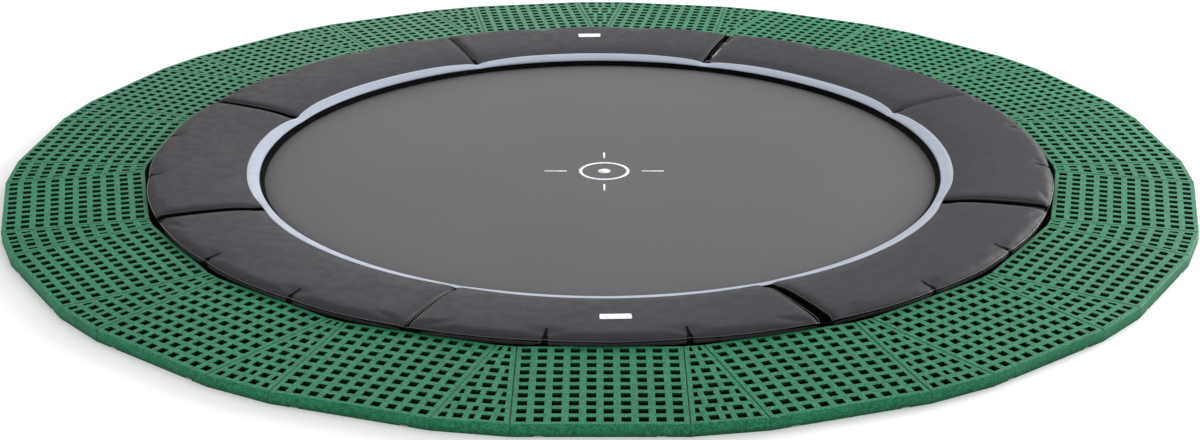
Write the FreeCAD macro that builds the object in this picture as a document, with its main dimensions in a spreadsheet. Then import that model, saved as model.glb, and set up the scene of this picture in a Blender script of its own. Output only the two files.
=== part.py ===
"""Ground-level round trampoline with a ring of green rubber safety tiles around it.

The frame is sunk in a pit.  Its origin is the centre of the trampoline at ground level, +Z is up and
-Y is the front.  The tiles lie on the ground around the pit, and the frame's legs stand on its floor.
Every repeated piece is built once along +X and turned into place about Z by its Placement.
"""
import FreeCAD, Part
import math
import os
import re

import Sketcher

DIMENSIONS = {
    # Ring of rubber tiles: square tiles, with a wedge-shaped tile between each two of them.
    "tile_count": (19, "square tiles in the ring, and as many wedge tiles"),
    "tile_width": (545, "side of a square tile"),
    "tile_height": (43, "thickness of a tile"),
    "tile_reach": (2387, "centre of the ring to the outer edge of a square tile"),
    "tile_gap": (1, "joint between two tiles"),
    "hole_rows": (10, "rows of holes, and holes in each row of a square tile"),
    "hole_pitch": (53.2, "from hole to hole"),
    "hole_side": (31, "side of a square hole"),
    "wedge_rim": (18, "solid edge along the sides of a wedge tile"),
    "wedge_web": (19, "solid strip between two holes of a wedge tile"),
    "wedge_slot": (17.5, "width of the narrow middle hole of a wedge tile's widest rows"),
    "span_for_three": (175, "holes and webs of a wedge tile's row with three middle holes take up more"),
    "span_for_two": (140, "holes and webs of a row with two middle holes take up more"),
    "span_for_one": (90, "holes and webs of a row with one middle hole take up more"),
    "notch_width": (31, "width of the notches under a square tile's outer edge"),
    "notch_height": (5, "height of the notches"),
    "notch_depth": (12, "how far the notches reach in"),
    "notch_offset": (187, "middle of the tile to the middle of a notch"),
    "tile_bevel": (2.5, "bevel along a tile's top edge"),
    # Top rail and legs.
    "rail_count": (8, "segments of the top rail"),
    "rail_radius": (1805, "centre of the ring to the middle of the rail tube"),
    "rail_height": (2, "middle of the rail tube above the ground"),
    "rail_tube": (48, "outer diameter of the rail tube"),
    "rail_wall": (2, "wall of the rail tube"),
    "rail_joint": (0.05, "angle of the joint between two rails"),
    "neck_length": (6, "length over which the end of a rail narrows"),
    "spigot_tube": (43.6, "outer diameter of the narrowed end of a rail"),
    "spigot_length": (70, "length of the narrowed end"),
    "socket_tube": (42.4, "outer diameter of a leg socket"),
    "socket_wall": (2, "wall of a leg socket"),
    "socket_drop": (110, "bottom of a leg socket under the middle of the rail"),
    "socket_top": (2, "top of a leg socket's bore under the rail tube"),
    "socket_screw_drop": (70, "leg screws under the middle of the rail"),
    "leg_tube": (38, "outer diameter of the leg tube"),
    "leg_wall": (1.5, "wall of the leg tube"),
    "leg_span": (420, "from one upright of a leg to the other"),
    "leg_bend": (70, "radius of the bends of a leg"),
    "leg_top": (-28, "top of a leg's uprights"),
    "leg_depth": (300, "ground level to the bottom of the legs"),
    "screw_shank": (6, "diameter of the screws"),
    "screw_hole": (6.4, "diameter of the screw holes"),
    "screw_head": (12, "diameter of the screw heads"),
    "screw_head_height": (3, "height of the screw heads"),
    "screw_length": (14, "length of the screws under the head"),
    # Springs.
    "spring_count": (72, "springs around the mat"),
    "spring_coil": (26, "outer diameter of a spring"),
    "spring_wire": (3.6, "wire of a spring"),
    "spring_hole": (8, "diameter of the holes in the rail that the springs hook into"),
    "coil_start": (1590, "inner end of a spring's coils"),
    "coil_end": (1750, "outer end of a spring's coils"),
    "bar_inset": (1, "ends of the coils to the cross bars"),
    "bar_width": (5, "width of the cross bars"),
    "rod_lap": (2, "length of a hook's rod inside its cross bar"),
    "hook_end": (1791, "middle of a spring's outer hook, inside the rail"),
    "hook_drop": (14, "end of the outer hook's tip under its rod"),
    "hook_rise": (1.2, "top of the outer hook's tip above the middle of its rod"),
    "hook_tip": (4, "diameter of the outer hook's tip"),
    "eye_radius": (6.5, "middle of the wire of a spring's inner eye"),
    "eye_thick": (3, "thickness of the eye"),
    "eye_offset": (0.4, "middle of the eye outside the tip of its V ring"),
    # Jumping mat.
    "mat_radius": (1512, "radius of the jumping mat"),
    "mat_height": (2, "middle of the mat above the ground"),
    "mat_thick": (3, "thickness of the mat"),
    "hem_width": (50, "width of the webbing sewn along the mat's edge"),
    "hem_thick": (2, "thickness of the webbing"),
    "tab_length": (17, "length of the loops that hold the V rings"),
    "tab_width": (34, "width of those loops"),
    "tab_thick": (9, "thickness of those loops"),
    "ring_wire": (5, "wire of a V ring"),
    "ring_base": (52, "width of a V ring"),
    "ring_base_at": (1522, "centre of the mat to the straight side of a V ring"),
    "ring_tip_at": (1560, "centre of the mat to the tip of a V ring"),
    "ring_bend": (5, "bend radius of a V ring"),
    # Safety pads.
    "pad_count": (8, "sections of the safety pad"),
    "pad_turn": (1.8, "angle by which the pads are turned against the frame"),
    "pad_gap": (1.1, "angle of the gap between two pad sections"),
    "pad_inner": (1398, "inner radius of the pads"),
    "pad_outer": (1837.5, "outer radius of the pads"),
    "pad_crown": (72, "highest point of the pads above the ground"),
    "pad_outer_top": (64, "outer edge of the pads above the ground"),
    "pad_inner_top": (41, "outer edge of the pale binding above the ground"),
    "pad_inner_base": (13, "bottom of the pads' inner edge above the ground"),
    "pad_spring_base": (17, "underside of the pads over the springs"),
    "pad_rail_base": (28.5, "underside of the pads over the rail"),
    "nose_foot": (14, "inner edge of a pad to the start of its underside"),
    "nose_low": (8, "lower corner of a pad's inner edge above its underside"),
    "nose_back": (6, "how far the upper corner of a pad's inner edge stands back"),
    "nose_high": (9, "upper corner of a pad's inner edge under the binding's outer edge"),
    "crown_start": (190, "inner edge of a pad to the inner edge of its flat top"),
    "crown_end": (70, "outer edge of a pad to the outer edge of its flat top"),
    "crown_fall": (8, "fall of a pad's flat top towards its inner edge"),
    "step_room": (55, "coils to the outer end of the step in a pad's underside"),
    "step_run": (45, "radial length of that step"),
    "rail_step": (22, "radial length of the step beside the rail"),
    "cover_wall": (1.2, "thickness of the pad covers"),
    "foam_inset": (2, "surface of the foam inside the surface of the cover"),
    "foam_gap": (1.32, "angle of the gap between the foam of two pad sections"),
    "binding_thick": (1.5, "thickness of the pale binding on the pads' inner edge"),
    "binding_width": (51, "radial width of the binding's top"),
    "binding_gap": (0.4, "space between the binding and the pad cover"),
    "skirt_radius": (1839.5, "radius of the skirt"),
    "skirt_thick": (1.2, "thickness of the skirt"),
    "skirt_bottom": (16, "bottom of the skirt above the ground"),
    "skirt_top": (60, "top of the skirt above the ground"),
    "strap_turn": (12.5, "angle from the middle of a rail to each of its two elastic straps"),
    "strap_width": (25, "width of a strap"),
    "strap_thick": (1.5, "thickness of a strap"),
    "strap_gap": (0.3, "space between a strap and the rail"),
}

FRONT = -90.0
XY_PLANE = "XY_Plane"
XZ_PLANE = "XZ_Plane"
YZ_PLANE = "YZ_Plane"
SHEET_NAME = "dimensions"


def make_sheet(doc):
    """The driving dimensions, one named cell each, with a note beside it."""
    sheet = doc.addObject("Spreadsheet::Sheet", SHEET_NAME)
    for row, (alias, (value, note)) in enumerate(DIMENSIONS.items(), start=1):
        sheet.set(f"A{row}", alias)
        sheet.set(f"B{row}", str(value))
        sheet.set(f"C{row}", note)
        sheet.setAlias(f"B{row}", alias)
    doc.recompute()
    return sheet


def size(alias):
    """The value of one driving dimension."""
    return float(sheet.get(alias))


def bound(text):
    """An expression in the sheet's own names, written so that FreeCAD finds the cells."""
    return re.sub(r"\b([a-z]+_[a-z_]+)\b", SHEET_NAME + r".\1", text)


def value_of(text):
    """The number that an expression in the sheet's names works out to."""
    return float(sheet.evalExpression(bound(text)))


def new_body(name, turn=0.0, height=0.0, reach=0.0):
    """An empty body, turned about Z and then moved out along its own X axis and up."""
    body = doc.addObject("PartDesign::Body", name)
    body.Label = name
    body.AllowCompound = True
    rotation = FreeCAD.Rotation(FreeCAD.Vector(0, 0, 1), turn)
    place = rotation.multVec(FreeCAD.Vector(reach, 0, height))
    body.Placement = FreeCAD.Placement(place, rotation)
    return body


def origin_feature(body, role):
    """One of the body's own planes or axes."""
    return next(item for item in body.Origin.OriginFeatures if item.Role == role)


def new_sketch(body, plane, name, lift="0", turn="0"):
    """A sketch on one of the body's origin planes, lifted off it and turned about its own Y axis."""
    sketch = body.newObject("Sketcher::SketchObject", f"{body.Name}_{name}")
    sketch.AttachmentSupport = [(origin_feature(body, plane), "")]
    sketch.MapMode = "FlatFace"
    about_y = FreeCAD.Rotation(FreeCAD.Vector(0, 1, 0), value_of(turn))
    sketch.AttachmentOffset = FreeCAD.Placement(FreeCAD.Vector(), about_y)
    sketch.setExpression("AttachmentOffset.Base.z", bound(lift))
    return sketch


def pin_point(sketch, geometry, point, across, up):
    """Fixes one end of a line, or a centre, at two expressions from the sketch's origin."""
    for kind, text in (("DistanceX", across), ("DistanceY", up)):
        index = sketch.addConstraint(Sketcher.Constraint(kind, -1, 1, geometry, point, value_of(text)))
        sketch.setExpression(f"Constraints[{index}]", bound(text))


def add_polygon(sketch, corners):
    """A closed outline through corners given as pairs of expressions."""
    points = [FreeCAD.Vector(value_of(across), value_of(up), 0) for across, up in corners]
    first = len(sketch.Geometry)
    count = len(corners)
    for index, point in enumerate(points):
        sketch.addGeometry(Part.LineSegment(point, points[(index + 1) % count]))
    for index, (across, up) in enumerate(corners):
        line = first + index
        sketch.addConstraint(Sketcher.Constraint("Coincident", line, 2, first + (index + 1) % count, 1))
        pin_point(sketch, line, 1, across, up)


def add_circle(sketch, across, up, diameter):
    """A circle whose centre and diameter are expressions."""
    centre = FreeCAD.Vector(value_of(across), value_of(up), 0)
    geometry = sketch.addGeometry(Part.Circle(centre, FreeCAD.Vector(0, 0, 1), value_of(diameter) / 2))
    pin_point(sketch, geometry, 3, across, up)
    index = sketch.addConstraint(Sketcher.Constraint("Diameter", geometry, value_of(diameter)))
    sketch.setExpression(f"Constraints[{index}]", bound(diameter))


def pad(body, sketch, length, midplane=False, reverse=False):
    """Pads a sketch by an expression."""
    feature = body.newObject("PartDesign::Pad", f"{sketch.Name}_pad")
    feature.Profile = sketch
    feature.setExpression("Length", bound(length))
    feature.Midplane = midplane
    feature.Reversed = reverse
    return feature


def revolve(body, sketch, angle, midplane=True, axis="V_Axis", kind="PartDesign::Revolution"):
    """Turns a sketch about one of its own axes by an expression."""
    feature = body.newObject(kind, f"{sketch.Name}_turn")
    feature.Profile = sketch
    feature.ReferenceAxis = (sketch, [axis])
    feature.setExpression("Angle", bound(angle))
    feature.Midplane = midplane
    return feature


def cut(body, sketch, length, midplane=False, reverse=False):
    """Pockets a sketch by an expression, and makes sure that it takes material away."""
    before = body.Shape.Volume
    feature = body.newObject("PartDesign::Pocket", f"{sketch.Name}_cut")
    feature.Profile = sketch
    feature.setExpression("Length", bound(length))
    feature.Midplane = midplane
    feature.Reversed = reverse
    doc.recompute()
    if body.Shape.Volume >= before:
        raise RuntimeError(f"{feature.Name} cuts nothing")
    return feature


def sweep(body, profile, path):
    """Sweeps a profile sketch along a path sketch."""
    feature = body.newObject("PartDesign::AdditivePipe", f"{path.Name}_sweep")
    feature.Profile = profile
    feature.Spine = path
    return feature


def repeat(body, features, count, angle=360):
    """Repeats features about the body's Z axis, or everything made so far if none are named."""
    doc.recompute()
    pattern = body.newObject("PartDesign::PolarPattern", f"{body.Name}_ring_{len(body.Group)}")
    if features:
        pattern.Originals = features
    else:
        pattern.TransformMode = "Whole shape"
    pattern.Axis = (origin_feature(body, "Z_Axis"), [""])
    pattern.Angle = angle
    pattern.setExpression("Occurrences", bound(count))
    body.Tip = pattern
    return pattern


def add_outline(sketch, points):
    """A closed outline through points given as numbers."""
    corners = [FreeCAD.Vector(across, up, 0) for across, up in points]
    for index, corner in enumerate(corners):
        sketch.addGeometry(Part.LineSegment(corner, corners[(index + 1) % len(corners)]))


def add_rounded_path(sketch, corners, radius, closed):
    """Straight runs through corners given as pairs of expressions, with a tangent arc at each turn."""
    points = [FreeCAD.Vector(value_of(across), value_of(up), 0) for across, up in corners]
    count = len(points)
    run_starts = list(points)
    run_ends = list(points)
    for index in range(count) if closed else range(1, count - 1):
        corner = points[index]
        back = (points[index - 1] - corner).normalize()
        ahead = (points[(index + 1) % count] - corner).normalize()
        half_angle = back.getAngle(ahead) / 2
        run_ends[index] = corner + back * (radius / math.tan(half_angle))
        run_starts[index] = corner + ahead * (radius / math.tan(half_angle))
        inward = (back + ahead).normalize()
        middle = corner + inward * (radius / math.sin(half_angle) - radius)
        sketch.addGeometry(Part.Arc(run_ends[index], middle, run_starts[index]))
    for index in range(count if closed else count - 1):
        sketch.addGeometry(Part.LineSegment(run_starts[index], run_ends[(index + 1) % count]))


def bevel_top(body, feature):
    """Bevels the edges round the top face of the feature made last."""
    doc.recompute()
    faces = feature.Shape.Faces
    top = max(range(len(faces)), key=lambda index: faces[index].CenterOfMass.z)
    chamfer = body.newObject("PartDesign::Chamfer", f"{feature.Name}_bevel")
    chamfer.Base = (feature, [f"Face{top + 1}"])
    chamfer.setExpression("Size", bound("tile_bevel"))


def tube_section(sketch, across, up, diameter, wall):
    """The ring-shaped section of a tube."""
    add_circle(sketch, across, up, diameter)
    add_circle(sketch, across, up, f"{diameter} - 2 * {wall}")


def square_tile(number):
    """A square tile with a grid of square holes and two notches under its outer edge."""
    turn = FRONT + (number - 1) * 360 / size("tile_count")
    body = new_body(f"square_tile_{number:02d}", turn)
    side = "(tile_width - tile_gap) / 2"
    inner = "(tile_reach - tile_width)"
    outline = new_sketch(body, XY_PLANE, "outline")
    corners = [(inner, f"-{side}"), ("tile_reach", f"-{side}"), ("tile_reach", side), (inner, side)]
    add_polygon(outline, corners)
    bevel_top(body, pad(body, outline, "tile_height"))

    grid = "((hole_rows - 1) * hole_pitch + hole_side)"
    low = f"(tile_reach - (tile_width + {grid}) / 2)"
    left = f"(-{grid} / 2)"
    hole = new_sketch(body, XY_PLANE, "hole")
    far = f"{low} + hole_side"
    right = f"{left} + hole_side"
    add_polygon(hole, [(low, left), (far, left), (far, right), (low, right)])
    first_hole = cut(body, hole, "tile_height", reverse=True)
    grid_of_holes = body.newObject("PartDesign::MultiTransform", f"{body.Name}_grid")
    grid_of_holes.Originals = [first_hole]
    steps = [hole_row(body, axis) for axis in ("X_Axis", "Y_Axis")]
    grid_of_holes.Transformations = steps
    body.Tip = grid_of_holes

    doc.recompute()
    notches = new_sketch(body, XY_PLANE, "notches")
    for sign in ("-", ""):
        middle = f"({sign}notch_offset)"
        near = f"{middle} - notch_width / 2"
        end = f"{middle} + notch_width / 2"
        start = "tile_reach - notch_depth"
        stop = "tile_reach + tile_gap"
        add_polygon(notches, [(start, near), (stop, near), (stop, end), (start, end)])
    cut(body, notches, "notch_height", reverse=True)
    return body


def hole_row(body, axis):
    """Repeats a hole along one of the tile's axes."""
    row = body.newObject("PartDesign::LinearPattern", f"{body.Name}_{axis}_holes")
    row.Direction = (origin_feature(body, axis), [""])
    row.setExpression("Occurrences", bound("hole_rows"))
    row.setExpression("Length", bound("(hole_rows - 1) * hole_pitch"))
    return row


def wedge_half_width(reach):
    """Half the width of a wedge tile at a distance from the centre of the ring."""
    half_angle = math.radians(180 / size("tile_count"))
    return reach * math.tan(half_angle) - size("tile_width") / 2 / math.cos(half_angle)


def wedge_hole_widths(span):
    """Widths of the holes across a wedge tile where its holes and webs together take up span."""
    full = size("hole_side")
    if span > size("span_for_three"):
        middle = [full, size("wedge_slot"), full]
    elif span > size("span_for_two"):
        middle = [full, full]
    elif span > size("span_for_one"):
        middle = [full]
    else:
        middle = []
    end = (span - sum(middle) - (len(middle) + 1) * size("wedge_web")) / 2
    return [end, *middle, end]


def wedge_holes(outer):
    """Outlines of a wedge tile's holes. Each row's two end holes follow the slanted sides."""
    half_side = size("hole_side") / 2
    rim = (size("tile_width") - (size("hole_rows") - 1) * size("hole_pitch")) / 2 - half_side
    outlines = []
    for row in range(int(size("hole_rows"))):
        middle = outer - rim - half_side - row * size("hole_pitch")
        near = middle - half_side
        far = middle + half_side
        edge = {reach: wedge_half_width(reach) - size("wedge_rim") for reach in (near, middle, far)}
        widths = wedge_hole_widths(2 * edge[middle])
        left = -edge[middle]
        for index, width in enumerate(widths):
            right = left + width
            low_left, high_left = (-edge[near], -edge[far]) if index == 0 else (left, left)
            last = index == len(widths) - 1
            low_right, high_right = (edge[near], edge[far]) if last else (right, right)
            outlines.append([(near, low_left), (far, high_left), (far, high_right), (near, low_right)])
            left = right + size("wedge_web")
    return outlines


def wedge_tiles():
    """The wedge tiles between the square ones, one solid each."""
    half_angle = 180 / size("tile_count")
    body = new_body("wedge_tiles", FRONT + half_angle)
    step = "(180 / tile_count)"
    side = f"(tile_width / 2 * sin{step})"
    outline = new_sketch(body, XY_PLANE, "outline")
    corners = []
    for reach, sign in (("inner", "-"), ("outer", "-"), ("outer", ""), ("inner", "")):
        distance = "tile_reach" if reach == "outer" else "(tile_reach - tile_width)"
        along = f"{distance} * cos{step} + {side}"
        half = f"({distance} * sin{step} - tile_width / 2 * cos{step} - tile_gap / 2)"
        corners.append((along, f"{sign}{half}"))
    add_polygon(outline, corners)
    bevel_top(body, pad(body, outline, "tile_height"))
    holes = new_sketch(body, XY_PLANE, "holes")
    for points in wedge_holes(value_of(corners[1][0])):
        add_outline(holes, points)
    cut(body, holes, "tile_height", reverse=True)
    repeat(body, [], "tile_count")
    return body


def top_rail(number):
    """One curved rail tube with a narrowed end, two leg sockets, spring holes and screw holes."""
    sector = "(360 / rail_count)"
    turn = FRONT + (number - 1) * 360 / size("rail_count")
    body = new_body(f"top_rail_{number:02d}", turn, size("rail_height"))
    full_tube = new_sketch(body, XZ_PLANE, "tube")
    add_circle(full_tube, "rail_radius", "0", "rail_tube")
    revolve(body, full_tube, f"{sector} - rail_joint")

    leg_reach = "sqrt(rail_radius ^ 2 - (leg_span / 2) ^ 2)"
    sockets = new_sketch(body, XY_PLANE, "sockets", lift="-socket_drop")
    bores = new_sketch(body, XY_PLANE, "socket_bores", lift="-socket_drop")
    leg_screws = new_sketch(body, YZ_PLANE, "leg_screws", lift=leg_reach)
    for sign in ("-", ""):
        offset = f"({sign}leg_span / 2)"
        add_circle(sockets, leg_reach, offset, "socket_tube")
        add_circle(bores, leg_reach, offset, "socket_tube - 2 * socket_wall")
        add_circle(leg_screws, offset, "-socket_screw_drop", "screw_hole")
    pad(body, sockets, "socket_drop")
    doc.recompute()
    cut(body, bores, "socket_drop - rail_tube / 2 - socket_top", reverse=True)
    bore = new_sketch(body, XZ_PLANE, "bore")
    add_circle(bore, "rail_radius", "0", "rail_tube - 2 * rail_wall")
    revolve(body, bore, sector, kind="PartDesign::Groove")
    doc.recompute()

    end_turn = f"({sector} / 2)"
    tube_turn = f"({end_turn} - rail_joint / 2)"
    neck_turn = "(360 * neck_length / (2 * pi * rail_radius))"
    spigot_turn = "(360 * spigot_length / (2 * pi * rail_radius))"
    neck = new_sketch(body, XZ_PLANE, "neck", turn=f"{tube_turn} - {neck_turn}")
    add_circle(neck, "rail_radius", "0", "rail_tube")
    add_circle(neck, "rail_radius", "0", "spigot_tube - 2 * rail_wall")
    revolve(body, neck, neck_turn, midplane=False)
    spigot = new_sketch(body, XZ_PLANE, "spigot", turn=f"{tube_turn} - {neck_turn} / 2")
    tube_section(spigot, "rail_radius", "0", "spigot_tube", "rail_wall")
    revolve(body, spigot, spigot_turn, midplane=False)
    doc.recompute()

    joint_screws = new_sketch(body, XY_PLANE, "joint_screws")
    for place in (f"({end_turn} + {spigot_turn} / 2)", f"({spigot_turn} / 2 - {end_turn})"):
        add_circle(joint_screws, f"rail_radius * cos({place})", f"rail_radius * sin({place})", "screw_hole")
    cut(body, joint_screws, "rail_tube")
    cut(body, leg_screws, "rail_tube", reverse=True)

    holes_per_rail = "(spring_count / rail_count)"
    first = f"(-{sector} * ({holes_per_rail} - 1) / {holes_per_rail} / 2)"
    spring_hole = new_sketch(body, YZ_PLANE, "spring_hole", turn=first)
    add_circle(spring_hole, "0", "0", "spring_hole")
    first_hole = cut(body, spring_hole, "rail_radius", reverse=True)
    span = -2 * value_of(first)
    repeat(body, [first_hole], holes_per_rail, span)
    return body


def leg(number):
    """One U-shaped leg, bent from a tube, with a screw hole in each upright."""
    turn = FRONT + (number - 1) * 360 / size("rail_count")
    reach = math.sqrt(size("rail_radius") ** 2 - (size("leg_span") / 2) ** 2)
    body = new_body(f"leg_{number:02d}", turn, size("leg_top"), reach)
    side = "leg_span / 2"
    floor = "-(leg_depth + leg_top - leg_tube / 2)"
    path = new_sketch(body, YZ_PLANE, "path")
    corners = [(f"-{side}", "0"), (f"-{side}", floor), (side, floor), (side, "0")]
    add_rounded_path(path, corners, size("leg_bend"), closed=False)
    section = new_sketch(body, XY_PLANE, "section")
    tube_section(section, "0", f"-{side}", "leg_tube", "leg_wall")
    sweep(body, section, path)
    doc.recompute()
    screws = new_sketch(body, YZ_PLANE, "screws")
    for sign in ("-", ""):
        add_circle(screws, f"{sign}{side}", "rail_height - socket_screw_drop - leg_top", "screw_hole")
    cut(body, screws, "rail_tube", reverse=True)
    return body


def frame_screws():
    """The screws that lock the rail joints from below and the legs from outside."""
    body = new_body("frame_screws", FRONT, size("rail_height"))
    joint = "(180 / rail_count + 180 * spigot_length / (2 * pi * rail_radius))"
    across = f"rail_radius * cos{joint}"
    up = f"rail_radius * sin{joint}"
    leg_face = "sqrt(rail_radius ^ 2 - (leg_span / 2) ^ 2) + socket_tube / 2"
    features = []
    for part, diameter, length in (
        ("heads", "screw_head", "screw_head_height"),
        ("shanks", "screw_shank", "screw_length"),
    ):
        upward = part == "shanks"
        joint_sketch = new_sketch(body, XY_PLANE, f"joint_{part}", lift="-rail_tube / 2")
        add_circle(joint_sketch, across, up, diameter)
        features.append(pad(body, joint_sketch, length, reverse=not upward))
        leg_sketch = new_sketch(body, YZ_PLANE, f"leg_{part}", lift=leg_face)
        for sign in ("-", ""):
            add_circle(leg_sketch, f"{sign}leg_span / 2", "-socket_screw_drop", diameter)
        features.append(pad(body, leg_sketch, length, reverse=upward))
    repeat(body, [], "rail_count")
    return body


def springs():
    """The springs between rail and mat, each a coil tube with a cross bar, rod and hook at each end."""
    body = new_body("springs", FRONT, size("rail_height"))
    eye_middle = "(ring_tip_at + eye_offset)"
    coil = new_sketch(body, XZ_PLANE, "coil")
    low = "spring_coil / 2 - spring_wire"
    high = "spring_coil / 2"
    add_polygon(coil, [("coil_start", low), ("coil_end", low), ("coil_end", high), ("coil_start", high)])
    revolve(body, coil, "360", axis="H_Axis")
    outer_bar = "coil_end - spring_wire - bar_inset"
    for name, start in (("inner_bar", "coil_start + bar_inset"), ("outer_bar", outer_bar)):
        bar = new_sketch(body, XZ_PLANE, name)
        end = f"{start} + spring_wire"
        top = "(spring_coil - spring_wire) / 2"
        add_polygon(bar, [(start, f"-{top}"), (end, f"-{top}"), (end, top), (start, top)])
        pad(body, bar, "bar_width", midplane=True)
    rods = new_sketch(body, XZ_PLANE, "rods")
    rod = "spring_wire / 2"
    inner_end = f"{eye_middle} + eye_radius"
    for start, end in ((inner_end, "coil_start + rod_lap"), ("coil_end - rod_lap", "hook_end")):
        add_polygon(rods, [(start, "0"), (end, "0"), (end, rod), (start, rod)])
    revolve(body, rods, "360", axis="H_Axis")
    eye = new_sketch(body, XZ_PLANE, "eye")
    add_circle(eye, eye_middle, "0", "2 * eye_radius + spring_wire")
    add_circle(eye, eye_middle, "0", "2 * eye_radius - spring_wire")
    pad(body, eye, "eye_thick", midplane=True)
    tip = new_sketch(body, XY_PLANE, "tip", lift="-hook_drop")
    add_circle(tip, "hook_end", "0", "hook_tip")
    pad(body, tip, "hook_drop + hook_rise")
    repeat(body, [], "spring_count")
    return body


def v_rings():
    """The V rings on the mat's edge that the springs hook into."""
    body = new_body("v_rings", FRONT, size("mat_height"))
    half = "(ring_base - ring_wire) / 2"
    path = new_sketch(body, XY_PLANE, "path")
    corners = [("ring_base_at", "-" + half), ("ring_tip_at + ring_bend", "0"), ("ring_base_at", half)]
    add_rounded_path(path, corners, size("ring_bend"), closed=True)
    section = new_sketch(body, XZ_PLANE, "section")
    add_circle(section, "ring_base_at", "0", "ring_wire")
    sweep(body, section, path)
    repeat(body, [], "spring_count")
    return body


def jumping_mat():
    """The round jumping mat."""
    body = new_body("jumping_mat", FRONT, size("mat_height"))
    outline = new_sketch(body, XY_PLANE, "outline", lift="-mat_thick / 2")
    add_circle(outline, "0", "0", "2 * mat_radius")
    pad(body, outline, "mat_thick")
    return body


def mat_hem():
    """The webbing sewn on top of the mat along its edge."""
    body = new_body("mat_hem", FRONT, size("mat_height"))
    outline = new_sketch(body, XY_PLANE, "outline", lift="mat_thick / 2")
    tube_section(outline, "0", "0", "2 * mat_radius", "hem_width")
    pad(body, outline, "hem_thick")
    return body


def mat_tabs():
    """The webbing loops outside the hem, each round the straight side of a V ring."""
    body = new_body("mat_tabs", FRONT, size("mat_height"))
    outline = new_sketch(body, XY_PLANE, "outline", lift="-tab_thick / 2")
    end = "mat_radius + tab_length"
    half = "tab_width / 2"
    corners = [("mat_radius", f"-{half}"), (end, f"-{half}"), (end, half), ("mat_radius", half)]
    add_polygon(outline, corners)
    pad(body, outline, "tab_thick")
    repeat(body, [], "spring_count")
    return body


def pad_profile(inset):
    """Section of a pad from its inner edge outward, with every surface moved inward by inset."""
    outside_mat = "coil_start - step_room"
    beside_rail = "rail_radius - rail_tube"
    return [
        (f"pad_inner + nose_foot + {inset} / 2", f"pad_inner_base + {inset}"),
        (f"{outside_mat} - step_run", f"pad_inner_base + {inset}"),
        (outside_mat, f"pad_spring_base + {inset}"),
        (beside_rail, f"pad_spring_base + {inset}"),
        (f"{beside_rail} + rail_step", f"pad_rail_base + {inset}"),
        (f"pad_outer - {inset}", f"pad_rail_base + {inset}"),
        (f"pad_outer - {inset}", f"pad_outer_top - {inset}"),
        (f"pad_outer - crown_end - {inset}", f"pad_crown - {inset}"),
        (f"pad_inner + crown_start + {inset}", f"pad_crown - crown_fall - {inset}"),
        ("pad_inner + binding_width", f"pad_inner_top - {inset}"),
        (f"pad_inner + nose_back + {inset} / 2", f"pad_inner_top - nose_high - {inset}"),
        (f"pad_inner + {inset}", f"pad_inner_base + nose_low + {inset} / 2"),
    ]


def pad_cover(number):
    """One section of pad cover: a closed sleeve, open at the two ends."""
    turn = FRONT + size("pad_turn") + (number - 1) * 360 / size("pad_count")
    body = new_body(f"pad_cover_{number:02d}", turn)
    section = new_sketch(body, XZ_PLANE, "section")
    add_polygon(section, pad_profile("0"))
    add_polygon(section, pad_profile("cover_wall"))
    revolve(body, section, "360 / pad_count - pad_gap")
    return body


def pad_foam():
    """The foam in the pad covers, one solid in each."""
    body = new_body("pad_foam", FRONT + size("pad_turn"))
    section = new_sketch(body, XZ_PLANE, "section")
    add_polygon(section, pad_profile("foam_inset"))
    revolve(body, section, "360 / pad_count - foam_gap")
    repeat(body, [], "pad_count")
    return body


def pad_binding():
    """The pale binding round the inner edge of each pad section."""
    body = new_body("pad_binding", FRONT + size("pad_turn"))
    near = "binding_gap"
    far = "(binding_gap + binding_thick)"
    section = new_sketch(body, XZ_PLANE, "section")
    inner_side = binding_side(near)
    outer_side = binding_side(far)
    add_polygon(section, inner_side + outer_side[::-1])
    revolve(body, section, "360 / pad_count - pad_gap")
    repeat(body, [], "pad_count")
    return body


def binding_side(off):
    """Points along the inner edge of a pad section, at a distance outside its cover."""
    return [
        ("pad_inner + nose_foot", f"pad_inner_base - {off}"),
        (f"pad_inner - {off}", f"pad_inner_base + nose_low - {off} / 2"),
        (f"pad_inner + nose_back - {off}", f"pad_inner_top - nose_high + {off}"),
        (f"pad_inner + binding_width - {off} / 2", f"pad_inner_top + {off}"),
    ]


def pad_skirt():
    """The skirt that hangs from the pads' outer edge, between the rail and the tiles."""
    body = new_body("pad_skirt", FRONT)
    outline = new_sketch(body, XY_PLANE, "outline", lift="skirt_bottom")
    tube_section(outline, "0", "0", "2 * skirt_radius", "skirt_thick")
    pad(body, outline, "skirt_top - skirt_bottom")
    return body


def pad_straps():
    """The elastic straps round the rail, two for each rail."""
    body = new_body("pad_straps", FRONT, size("rail_height"))
    for name, sign in (("left", "-"), ("right", "")):
        section = new_sketch(body, XZ_PLANE, name, turn=f"{sign}strap_turn")
        outer = "(rail_tube + 2 * strap_gap + 2 * strap_thick)"
        tube_section(section, "rail_radius", "0", outer, "strap_thick")
        pad(body, section, "strap_width", midplane=True)
    repeat(body, [], "rail_count")
    return body


def check(document, bodies):
    """Stops the script if any feature failed or any piece is empty or broken."""
    for item in document.Objects:
        if {"Invalid", "Error"} & set(item.State):
            raise RuntimeError(f"{item.Name} failed: {item.State}")
    for body in bodies:
        if body.Shape.isNull() or not body.Shape.isValid():
            raise RuntimeError(f"{body.Label} has no valid shape")


def write(bodies):
    """Writes each piece to its own file and lists its solids and volume."""
    os.makedirs("parts", exist_ok=True)
    for body in bodies:
        body.Shape.exportStep(f"parts/{body.Label}.step")
        print(f"{body.Label}: {len(body.Shape.Solids)} solids, {body.Shape.Volume / 1000:.1f} cm3")


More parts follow.
